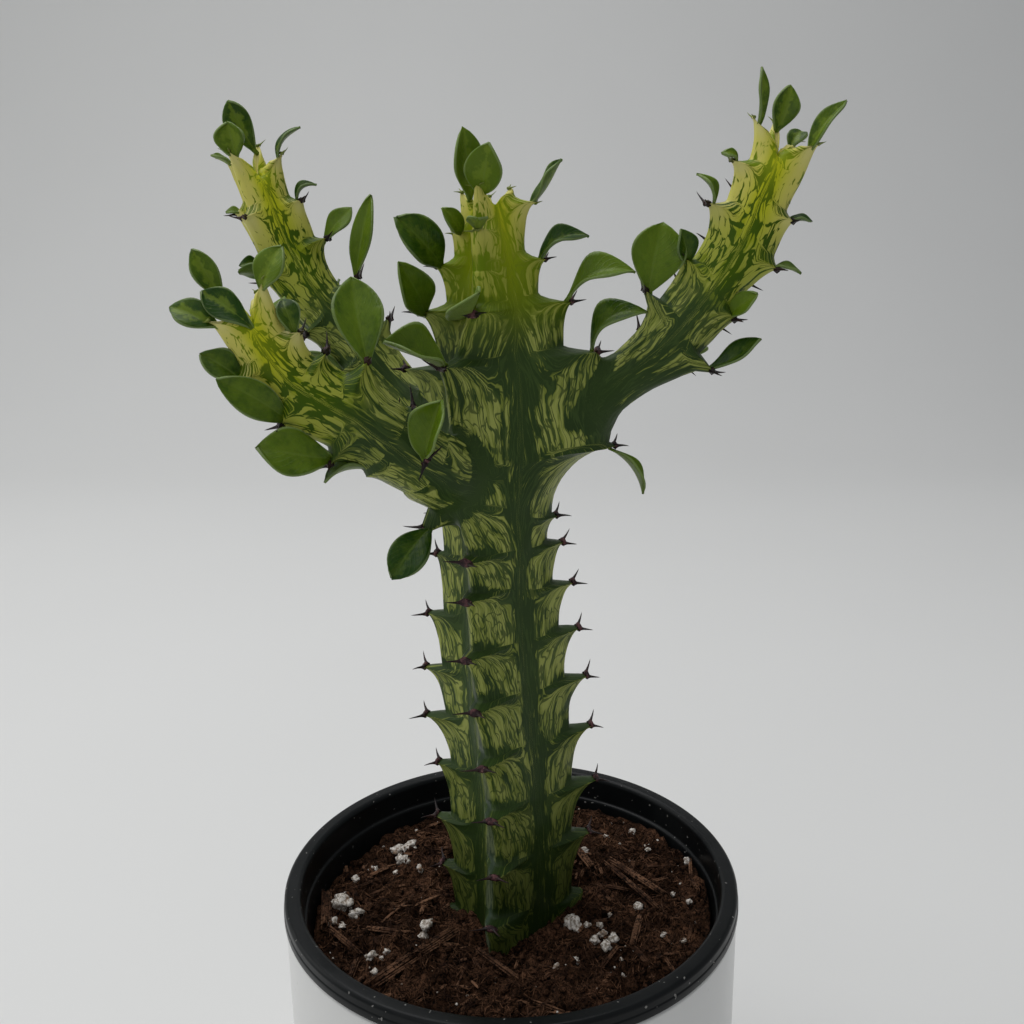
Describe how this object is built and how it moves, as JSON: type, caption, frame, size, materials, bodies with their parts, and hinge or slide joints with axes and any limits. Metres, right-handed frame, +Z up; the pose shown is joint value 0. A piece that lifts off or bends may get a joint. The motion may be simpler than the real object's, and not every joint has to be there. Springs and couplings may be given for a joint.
{
  "type": "potted euphorbia",
  "caption": "Marbled spiny succulent with a leader and three leafy arms, rooted in soil in a black growing pot that hangs by its lip in a plain white cylindrical outer pot.",
  "frame": {"origin": "middle of the outer pot's flat base", "axes": "+Z up along the pot's axis and the stem, -Y towards the viewer of the picture, +X to the viewer's right"},
  "size_m": [0.1381, 0.11, 0.2839],
  "materials": {
    "outer_pot": "satin",
    "nursery_pot": "satin",
    "soil": "matte",
    "euphorbia": "satin"
  },
  "bodies": {
    "root": {"outer_pot": "outer_pot", "nursery_pot": "nursery_pot", "soil": "soil", "euphorbia": "euphorbia"}
  },
  "joints": []
}
